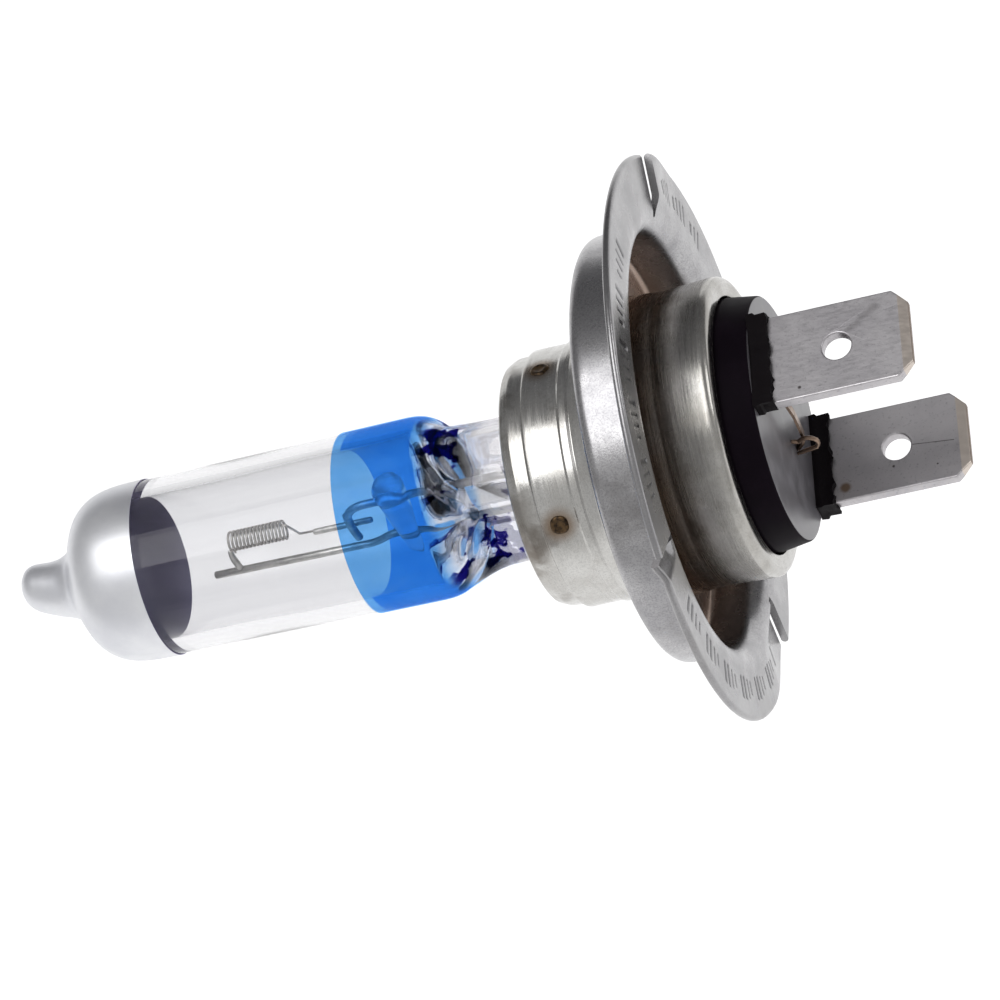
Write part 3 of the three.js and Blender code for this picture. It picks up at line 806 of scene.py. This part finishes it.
def sleeve_piece():
    """The outer sleeve, from its rolled front lip to the flange on the ring, with its weld spots."""
    front, seat, radius = SLEEVE_FRONT, SLEEVE_SEAT, SLEEVE_RADIUS
    wall = 0.4
    profile = rounded([
        (front + 0.35, 7.35, 0), (front + 0.02, 7.42, 0.12), (front + 0.1, 7.85, 0.3),
        (front + 0.75, 8.14, 0.5), (front + 1.72, 8.16, 0.15), (front + 1.82, 8.42, 0.1),
        (front + 2.0, radius, 0.1), (-3.35, radius - 0.02, 0.1), (-3.2, radius + 0.1, 0.1),
        (-2.75, radius + 0.12, 0.1), (-2.55, radius + 0.04, 0.12), (seat - 1.1, radius + 0.35, 0.5),
        (seat - 0.35, 9.55, 0.4), (seat, 9.8, 0.08), (seat, 9.0, 0.1), (seat - 0.7, radius + 0.2 - wall, 0.3),
        (-3.2, radius - wall, 0.2), (front + 1.9, radius - wall, 0.1), (front + 1.8, 8.15 - wall, 0.1),
        (front + 0.8, 8.12 - wall, 0.2), (front + 0.42, 7.5, 0.1), (front + 0.4, 7.36, 0),
    ], 5)
    spots = [spot_place(a, radius) for a in WELD_SPOT_ANGLES]

    def lip_stain(s):
        x, _, _ = s.axes()
        rise = s.step(x, (front + 2.2) * MM, (front + 0.4) * MM, 0.0, 0.5)
        return s.maths("MULTIPLY", rise, s.step(s.noise(s.coords, 230, 4, 0.6), 0.46, 0.6))

    base, dark, brown = colour(202, 201, 198), colour(184, 182, 178), colour(92, 82, 70)
    steel = turned_steel("sleeve_steel", base, dark, 0.2, AXIS_Y, lip_stain, brown, spots)
    place(lathe("sleeve", profile, [steel], 256, AXIS_Y), "steel", "adjusting_sleeve")
    scorched = scorched_metal()
    for i, angle in enumerate(WELD_SPOT_ANGLES):
        weld_spot(f"weld_spot_{i + 1}", angle, scorched)


def weld_spot(name, angle, material):
    """A small crater with a raised lip, where the sleeve was welded."""
    base = spot_place(angle, SLEEVE_RADIUS)
    radians = math.radians(angle)
    outward = Vector((0, math.sin(radians), math.cos(radians)))
    along = Vector((1, 0, 0))
    across = outward.cross(along)
    profile = ((POINT, 0.015), (0.16, 0.02), (0.3, 0.06), (0.42, 0.11), (0.54, 0.08), (0.62, 0.0),
               (0.64, -0.2), (POINT, -0.2))
    segments, points = 28, []
    for r, lift in profile:
        for turn in around(segments):
            x, y = math.cos(turn), math.sin(turn)
            rough = 1 + 0.1 * waver(x, y, angle, 1.7)
            spread = along * (r * rough * x) + across * (r * rough * y)
            # The spot lies on the sleeve's round, so its edges drop with it.
            drop = (r * y) ** 2 / (2 * SLEEVE_RADIUS)
            points.append(base + spread + outward * (lift - drop))
    faces = capped_faces(len(profile), segments, flip=True)
    place(new_object(name, points, faces, [material], sharp=60), "steel")


def ring_profile():
    """The ring's section, from the hole round the cup's front, over the rim and back inside."""
    bend = RIM_REAR - SHEET
    land = CUP_FRONT + LAND_DEPTH
    front = rounded([
        (CUP_FRONT + SHEET, RING_HOLE, 0), (land, RING_HOLE, 0.1), (land, LAND_RADIUS, 0.05),
        (CUP_FRONT, LAND_RADIUS + LAND_DEPTH, 0.05), (CUP_FRONT, CUP_RADIUS, 1.0),
        (bend, CUP_RADIUS, RIM_BEND - SHEET), (bend, RIM_RADIUS, 0),
    ], 8)
    rear = rounded([
        (RIM_REAR, RIM_RADIUS, 0), (RIM_REAR, CUP_RADIUS - SHEET, RIM_BEND),
        (CUP_FRONT + SHEET, CUP_RADIUS - SHEET, 0.6), (CUP_FRONT + SHEET, RING_HOLE + 0.3, 0),
    ], 8)
    # Close rings of points over the rim's flat let the dashes be pressed into it.
    half = SHEET / 2
    flat = CUP_RADIUS - SHEET + RIM_BEND + 0.1
    width = RIM_RADIUS - half - flat
    spread = round(width / 0.12)
    reaches = [flat + width * k / spread for k in range(spread)]
    rim = [(bend, reach) for reach in reaches]
    rim += [(bend + half - half * math.cos(a), RIM_RADIUS - half + half * math.sin(a))
            for a in (math.pi * k / 8 for k in range(9))]
    rim += [(RIM_REAR, reach) for reach in reversed(reaches)]
    return front[:-1] + rim + rear[1:]


def ring_angles():
    """Degrees round the ring: an even spread, with both walls of each slit among them."""
    angles = set(i * 0.5 for i in range(720))
    for slit in SLITS:
        angles -= {a for a in angles if abs(a - slit) < SLIT_HALF + 0.2}
        angles |= {slit - SLIT_HALF, slit + SLIT_HALF}
    return sorted(angles)


# Slit, the side of it that is bent, how far it is bent at the slit, and over how many degrees.
TAB_BENDS = ((60, 1, 0.5, 22), (200, 1, -0.5, 26), (306, -1, -0.45, 5))


def tab_lift(angle, reach):
    """How far the rim is lifted beside each slit."""
    lift = 0.0
    for slit, side, height, length in TAB_BENDS:
        away = (angle - slit) * side
        if away >= 0:
            share = 1 - smoothstep(away / length)
            lift += height * share * smoothstep((reach - SLIT_ROOT) / 1.5)
    return lift


def engraved(angle, reach):
    """Depth of the short dashes pressed into the rim's rear face, which stand for its markings."""
    depth, middle_reach = 0.07, 16.45
    for start, end in ((66, 100), (212, 296), (314, 382)):
        turn = angle if angle >= start or end <= 360 else angle + 360
        if not start <= turn <= end:
            continue
        cell = (turn - start) / 2.6
        index, inside = int(cell), cell - int(cell)
        half_length = (0.75, 0.45, 0.75, 0.6, 0.0)[(index * 7 + start) % 5]
        if abs(inside - 0.5) < 0.14 and abs(reach - middle_reach) < half_length:
            return depth
    return 0.0


def ring_piece(steel):
    """The ring's section turned round the X axis, open at the slits, with bent tabs and pressed dashes."""
    section = ring_profile()
    angles = ring_angles()
    size = len(section)
    slit_points = [k for k, (_, reach) in enumerate(section) if reach > SLIT_ROOT]
    first, last = slit_points[0], slit_points[-1]
    points, marks = [], []
    for angle in angles:
        radians = math.radians(angle)
        for index, (x, reach) in enumerate(section):
            depth = engraved(angle, reach) if x > RIM_REAR - 0.01 and first <= index <= last else 0.0
            marks.append(1.0 if depth else 0.0)
            x += tab_lift(angle, reach) - depth
            points.append((x, reach * math.sin(radians), reach * math.cos(radians)))
    faces = []
    for i, angle in enumerate(angles):
        here, after = i * size, (i + 1) % len(angles) * size
        in_slit = any(abs(angle - (slit - SLIT_HALF)) < 0.01 for slit in SLITS)
        for k in range(size):
            n = (k + 1) % size
            if in_slit and first <= k < last:
                continue
            faces.append((here + k, here + n, after + n, after + k))
        if in_slit:
            faces.append((here + first, here + last, after + last, after + first))
            faces.append(tuple(here + k for k in range(first, last + 1)))
            faces.append(tuple(after + k for k in range(last, first - 1, -1)))
    piece = new_object("prefocus_ring", points, faces, [steel], sharp=40)
    attribute = piece.data.attributes.new("engraved", "FLOAT", "POINT")
    attribute.data.foreach_set("value", marks)
    return place(piece, "steel", "mounting_ring")


def ring_steel():
    """The ring's satin steel, browned by heat down in the channel, with darker engraved marks and a painted
    shade over the rim.
    """
    s = Shader("ring_steel")
    x, _, _ = s.axes()
    reach = s.reach()
    marks = s.pressing_marks(reach)
    grain = s.noise(s.coords, 9000, 3, 0.7)
    cloud = s.noise(s.coords, 260, 4, 0.6)
    stain = s.noise(s.coords, 150, 5, 0.65)
    waves = s.noise(s.coords, 240, 2)
    tone = s.blend(s.step(cloud, 0.35, 0.68), colour(180, 179, 180), colour(159, 158, 160))
    tone = s.blend(s.step(grain, 0.42, 0.66, 0.0, 0.5), tone, colour(112, 110, 114))
    tone = s.blend(s.step(stain, 0.5, 0.7, 0.0, 0.45), tone, colour(104, 100, 98))
    deep = s.maths("MULTIPLY", s.step(x, 2.4 * MM, 0.0 * MM), s.step(reach, 13.8 * MM, 13.4 * MM))
    deep = s.maths("MULTIPLY", deep, s.step(x, (CUP_FRONT + 0.2) * MM, (CUP_FRONT + 0.4) * MM))
    tone = s.blend(s.maths("MULTIPLY", deep, 0.65), tone, colour(146, 116, 92))
    # Painted shade: the rim's face is toned darker than the cup to offset the bright floor it reflects. The
    # steel is the same.
    tone = s.blend(s.step(reach, 14.4 * MM, 15.4 * MM, 0.0, 0.5), tone, colour(140, 139, 140))
    cut = s.node("Attribute", attribute_name="engraved").outputs["Fac"]
    tone = s.blend(s.maths("MULTIPLY", cut, 0.8), tone, colour(62, 62, 66))
    roughness = s.step(cloud, 0.3, 0.7, 0.22, 0.32)
    normal = s.bump(s.weighted((marks, 0.5), (grain, 1.0), (waves, 9.0)), 0.004, 0.6)
    return s.finish(s.principled(Base_Color=tone, Metallic=1.0, Roughness=roughness, Normal=normal))


def shell_piece():
    """The domed shell, from its foot on the ring to its mouth round the disc, browned towards the foot."""
    foot, end = SHELL_FOOT_X, SHELL_END
    radius, mouth, foot_radius = SHELL_RADIUS, SHELL_MOUTH, 10.5
    waist_x, waist = 3.4, radius - 0.16
    wall = 0.45
    profile = rounded([
        (foot, radius - wall, 0), (foot, foot_radius, 0.08), (foot + 0.25, foot_radius, 0.1),
        (foot + 0.9, radius + 0.02, 1.2), (waist_x, waist, 2.5), (end, radius + 0.05, 1.6), (end, mouth, 0.2),
        (end - 0.4, mouth, 0.1), (end - 0.45, radius - wall, 1.3), (waist_x, waist - wall, 1.5),
    ], 7)

    def tint(s):
        x, _, _ = s.axes()
        cloud = s.noise(s.coords, 180, 4, 0.6)
        rise = s.step(x, 5.6 * MM, 1.2 * MM, 0.0, 0.85)
        patch = s.step(cloud, 0.3, 0.62, 0.35, 1.0)
        return s.maths("MULTIPLY", rise, patch)

    steel = turned_steel("shell_steel", colour(186, 184, 180), colour(160, 157, 151), 0.22, tint=tint)
    return place(lathe("dome_shell", profile, [steel], 256), "steel", "rear_shell")


def inner_sleeve_piece(steel):
    """The sleeve that the pinch's clips are held in."""
    front, rear = low("holder_sleeve").x, high("holder_sleeve").x
    outer = radius_of("holder_sleeve")
    inner = outer - 0.35
    profile = rounded([
        (front, inner, 0), (front, outer, 0.1), (rear, outer, 0.1), (rear, inner, 0.1), (front, inner, 0),
    ], 3)[:-1]
    place(lathe("inner_sleeve", profile, [steel], 128, AXIS_Y), "steel", "holder_sleeve")


# ---- insulator and terminals ----

def disc_piece():
    """The insulating disc, with one finish on its side and another, whose grey is a painted reflection of the
    floor, on its rear face.
    """
    front = low("insulator_disc").x
    rear_radius = DISC_RADIUS - 0.3
    profile = rounded([
        (front, 0, 0), (front, DISC_RADIUS - 0.1, 0.1), (SHELL_END + 0.1, DISC_RADIUS, 0.1),
        (DISC_REAR, rear_radius, 0.22), (DISC_REAR, 0, 0),
    ], 6)
    # The face's grey is a painted reflection of the pale floor on the black ceramic. The side keeps the
    # ceramic's own near black.
    side, face = colour(15, 9, 16), colour(90, 88, 92)
    finishes = [
        black_ceramic("ceramic_side", side, 0.5, 0.03),
        black_ceramic("ceramic_face_painted_reflection", face, 0.28, 0.4),
    ]
    disc = solid_lathe("insulator", profile, finishes, 192)
    for polygon in disc.data.polygons:
        polygon.material_index = 1 if polygon.normal.x > 0.9 else 0
    return place(disc, "insulator", "insulator_disc")


def blade_outline():
    """The blade's outline in plan as (x, y) points, root to tip and back."""
    half, tip, chamfer, fillet = BLADE_HALF, BLADE_TIP, 1.0, 0.2
    root = DISC_REAR - 1.5
    return rounded([
        (root, -half, 0), (tip - chamfer, -half, fillet), (tip, -half + chamfer, fillet),
        (tip, half - chamfer, fillet), (tip - chamfer, half, fillet), (root, half, 0),
    ], 4)


def blade_piece(name, side, metal):
    """A flat blade with a punched hole, softened edges and a coined tip."""
    curve = bpy.data.curves.new(name, "CURVE")
    curve.dimensions = "2D"
    curve.fill_mode = "BOTH"
    curve.extrude = (BLADE_THICKNESS / 2 - BLADE_EDGE) * MM
    curve.bevel_depth = BLADE_EDGE * MM
    curve.bevel_resolution = 2
    curve.offset = -BLADE_EDGE * MM
    hole = [(BLADE_HOLE_X + BLADE_HOLE_RADIUS * math.cos(a), -BLADE_HOLE_RADIUS * math.sin(a))
            for a in around(48)]
    for line in (blade_outline(), hole):
        spline = curve.splines.new("POLY")
        spline.points.add(len(line) - 1)
        for point, (x, y) in zip(spline.points, line):
            point.co = (x * MM, y * MM, 0, 1)
        spline.use_cyclic_u = True
    draft = add_object(name, curve)
    bpy.context.view_layer.update()
    mesh = bpy.data.meshes.new_from_object(draft.evaluated_get(bpy.context.evaluated_depsgraph_get()))
    bpy.data.objects.remove(draft)
    coin_tip(mesh)
    for vertex in mesh.vertices:
        vertex.co.z += side * BLADE_Z * MM
    mesh.materials.clear()
    mesh.materials.append(metal)
    mesh.set_sharp_from_angle(angle=math.radians(32))
    smallest = BLADE_EDGE * MM * 0.5 * MM  # area in square metres, above which a level face is shaded flat
    smooth = [abs(face.normal.z) <= 0.9 or face.area <= smallest for face in mesh.polygons]
    mesh.polygons.foreach_set("use_smooth", smooth)
    place(add_object(f"{name}_blade", mesh), "blade", f"{name}_terminal")


def coin_tip(mesh):
    """Presses the end of the blade thinner, down to half its thickness at the tip."""
    work = bmesh.new()
    work.from_mesh(mesh)
    bmesh.ops.remove_doubles(work, verts=work.verts, dist=POINT * MM)
    line = (BLADE_TIP - BLADE_BEVEL) * MM
    geometry = work.verts[:] + work.edges[:] + work.faces[:]
    bmesh.ops.bisect_plane(work, geom=geometry, plane_co=(line, 0, 0), plane_no=(1, 0, 0))
    for vertex in work.verts:
        if vertex.co.x > line + 1e-7:
            share = (vertex.co.x - line) / (BLADE_BEVEL * MM)
            vertex.co.z *= 1 - 0.5 * share
    bmesh.ops.recalc_face_normals(work, faces=work.faces)
    work.to_mesh(mesh)
    work.free()


def seal_piece(name, side, material):
    """The dark compound round a blade's root: a frame with a ragged rear edge."""
    node = f"{name}_terminal_seal"
    z_mid = side * BLADE_Z
    z_low = low(node).z if side < 0 else z_mid - BLADE_THICKNESS / 2 - 0.05
    z_high = high(node).z
    y_far = BLADE_HALF + 0.3
    y_near = y_far if side < 0 else BLADE_HALF + 0.1
    gap = 0.02  # between the blade and the compound
    y_in, z_in = BLADE_HALF + gap, BLADE_THICKNESS / 2 + gap
    corners_out = [(-y_near, z_low), (y_far, z_low), (y_far, z_high), (-y_near, z_high)]
    corners_in = [(-y_in, z_mid - z_in), (y_in, z_mid - z_in), (y_in, z_mid + z_in), (-y_in, z_mid + z_in)]
    outer, inner = [], []
    for loop, corners in ((outer, corners_out), (inner, corners_in)):
        for i, steps in enumerate((30, 5, 30, 5)):
            (ya, za), (yb, zb) = corners[i], corners[(i + 1) % 4]
            loop += [(ya + (yb - ya) * k / steps, za + (zb - za) * k / steps) for k in range(steps)]
    base, top = low(node).x - 0.1, high(node).x
    # Each level is a place along X, its loop, and how far the loop is drawn in.
    levels = (
        (base, outer, 0.0), (base + 0.45, outer, -0.03), (base + 0.6, outer, 0.08), (top, outer, 0.05),
        (top, inner, 0.0), (base, inner, 0.0),
    )
    points = []
    for x, loop, shrink in levels:
        for y, z in loop:
            ragged = 0.22 * waver(y, z, side, 1.7) + 0.1 * waver(y, z, side, 4.5) if x == top else 0.0
            drawn_in = shrink + 0.05 * waver(x, y, z, 2.5)
            z_share = 1 - drawn_in if loop is outer else 1
            points.append((x + ragged, y * (1 - drawn_in / 3), z_mid + (z - z_mid) * z_share))
    faces = ring_faces(len(levels), len(outer), closed=True)
    place(new_object(f"{name}_compound", points, faces, [material], sharp=40), "seal", node)


def small_lead_pieces(wire):
    """The nickel strip with a folded end, and the loop of wire beside it."""
    root = DISC_REAR
    strip = bent([
        (root + 0.75, -0.5, 5.6), (root + 0.9, -0.6, 1.2),
        (root + 0.75, -0.8, -1.6), (root + 0.05, -0.85, -2.4),
    ], 0.5)
    half, sheet = 0.27, 0.09  # half the strip's width and half its thickness
    side = Vector((0, 1, 0))
    points = []
    for i, spot in enumerate(strip):
        normal = heading(strip, i).cross(side).normalized()
        for across, lift in ((-half, -sheet), (half, -sheet), (half, sheet), (-half, sheet)):
            points.append(spot + side * across + normal * lift)
    faces = capped_faces(len(strip), 4)
    place(new_object("strip", points, faces, [wire], sharp=30), "wire", "lead_weld_strip")

    centre = Vector((root + 1.0, -1.3, -1.5))
    loop = [centre + Vector((0.62 * math.cos(a), 0.12 * a / math.pi, 0.62 * math.sin(a)))
            for a in (math.pi * (0.83 - 1.16 * i / 20) for i in range(21))]
    path = [Vector((root, -1.2, -1.0))] + loop + [Vector((root, -1.3, -2.4))]
    place(tube("wire_loop", smooth_line(path, 3), 0.15, [wire], 12), "wire", "lead_wire_loop")


# ---- stage ----

def camera():
    """Long lens, looking down on the lamp from behind its terminals."""
    azimuth, elevation, roll, distance = 27.83, 55.22, 35.84, 386.65
    aim = Vector((-10.11, -1.39, 0)) * MM
    turn = Euler((math.radians(90 - elevation), 0, math.radians(azimuth))).to_matrix()
    back = turn @ Vector((0, 0, 1))
    data = bpy.data.cameras.new("camera")
    data.lens = 216
    data.sensor_width = 36
    data.clip_start = 0.01
    body = add_object("camera", data)
    body.rotation_euler = (turn @ Euler((0, 0, math.radians(-roll))).to_matrix()).to_euler()
    body.location = aim + back * distance * MM
    bpy.context.scene.camera = body


def softbox(name, direction, distance, size, radiance, aim=(-0.01, 0, 0)):
    """A rectangular light of one radiance, facing the aim. Distance and size are in metres."""
    data = bpy.data.lights.new(name, "AREA")
    data.shape = "RECTANGLE"
    data.size, data.size_y = size
    data.energy = radiance * math.pi * size[0] * size[1]
    lamp = add_object(name, data)
    toward = Vector(direction).normalized()
    lamp.location = Vector(aim) + toward * distance
    lamp.rotation_euler = toward.to_track_quat("Z", "Y").to_euler()


def white_floor():
    """A floor far below the lamp, which lights it softly from underneath."""
    z = CAD_BOX[0][2] - 0.09
    size = 3.0
    mesh = bpy.data.meshes.new("floor")
    corners = [(x * size, y * size, z) for x, y in ((-1, -1), (1, -1), (1, 1), (-1, 1))]
    mesh.from_pydata(corners, [], [(0, 1, 2, 3)])
    s = Shader("floor_white")
    mesh.materials.append(s.finish(s.principled(
        Base_Color=(0.9, 0.9, 0.9, 1), Roughness=0.9, Emission_Color=(1, 1, 1, 1), Emission_Strength=0.42)))
    floor = add_object("floor", mesh)


def studio_world():
    """Surroundings that fade along +Y from light grey to dark grey."""
    world = bpy.data.worlds.new("studio")
    bpy.context.scene.world = world
    world.use_nodes = True
    tree = world.node_tree
    kinds = ("TexCoord", "SeparateXYZ", "MapRange", "ValToRGB")
    coords, split, side, ramp = [tree.nodes.new("ShaderNode" + kind) for kind in kinds]
    background = tree.nodes["Background"]
    for source, target in (
        (coords.outputs["Generated"], split), (split.outputs[1], side), (side.outputs[0], ramp),
        (ramp.outputs[0], background),
    ):
        tree.links.new(source, target.inputs[0])
    side.inputs[1].default_value = -1
    side.inputs[2].default_value = 1
    shades = ((0.0, (0.7, 0.7, 0.7, 1)), (0.95, (0.15, 0.15, 0.155, 1)))
    for element, (position, shade) in zip(ramp.color_ramp.elements, shades):
        element.position = position
        element.color = shade
    background.inputs[1].default_value = 1.0


def stage():
    """The floor, the two lights and the world round the part."""
    bpy.context.scene.view_settings.view_transform = "Standard"
    white_floor()
    softbox("key", (-0.27, -0.06, 0.96), 0.6, (0.44, 0.43), 2.9)
    softbox("side", (0.8, 0.15, 0.55), 0.6, (0.26, 0.3), 2.2)
    studio_world()


def main():
    """Builds the stage, then every piece from the capsule to the terminals."""
    camera()
    stage()
    wire = plain_wire("grey_wire", colour(206, 204, 200), 0.36, 0.6, 0.7)
    foil_metal = plain_wire("foil_metal", colour(222, 218, 230), 0.5, 0.4, 0.8)
    steel = turned_steel("plain_steel", colour(180, 178, 172), colour(160, 157, 150), 0.32)
    capsule_piece()
    coating_pieces()
    filament_pieces(wire)
    wire_pieces(wire)
    bridge_piece()
    sleeve_piece()
    ring_piece(ring_steel())
    shell_piece()
    inner_sleeve_piece(steel)
    disc_piece()
    compound = rough_black()
    brown, dark = colour(120, 96, 70), colour(50, 42, 40)
    blades = (
        ("upper", 1, ((15.7, 1.0), (17.4, 2.2), 0.6, 0.3), [(12.2, -2.4, 0.15, dark)]),
        ("lower", -1, ((15.9, -0.1), (18.6, -0.4), 0.07, 0.8),
         [(11.2, -2.2, 0.45, brown), (17.4, -1.9, 0.09, dark), (14.5, -1.4, 0.12, dark)]),
    )
    for name, side, scratch, stains in blades:
        blade_piece(name, side, blade_metal(f"{name}_metal", [scratch], stains))
        seal_piece(name, side, compound)
    small_lead_pieces(plain_wire("brown_lead", colour(150, 128, 112), 0.35))
    # Four hidden pieces stay the frame's own solids, with these metals.
    hidden = {
        "upper_foil": foil_metal, "lower_foil": foil_metal,
        "pinch_clip_left": steel, "pinch_clip_right": steel,
    }
    for node, metal in hidden.items():
        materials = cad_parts[node].data.materials
        materials.clear()
        materials.append(metal)


main()
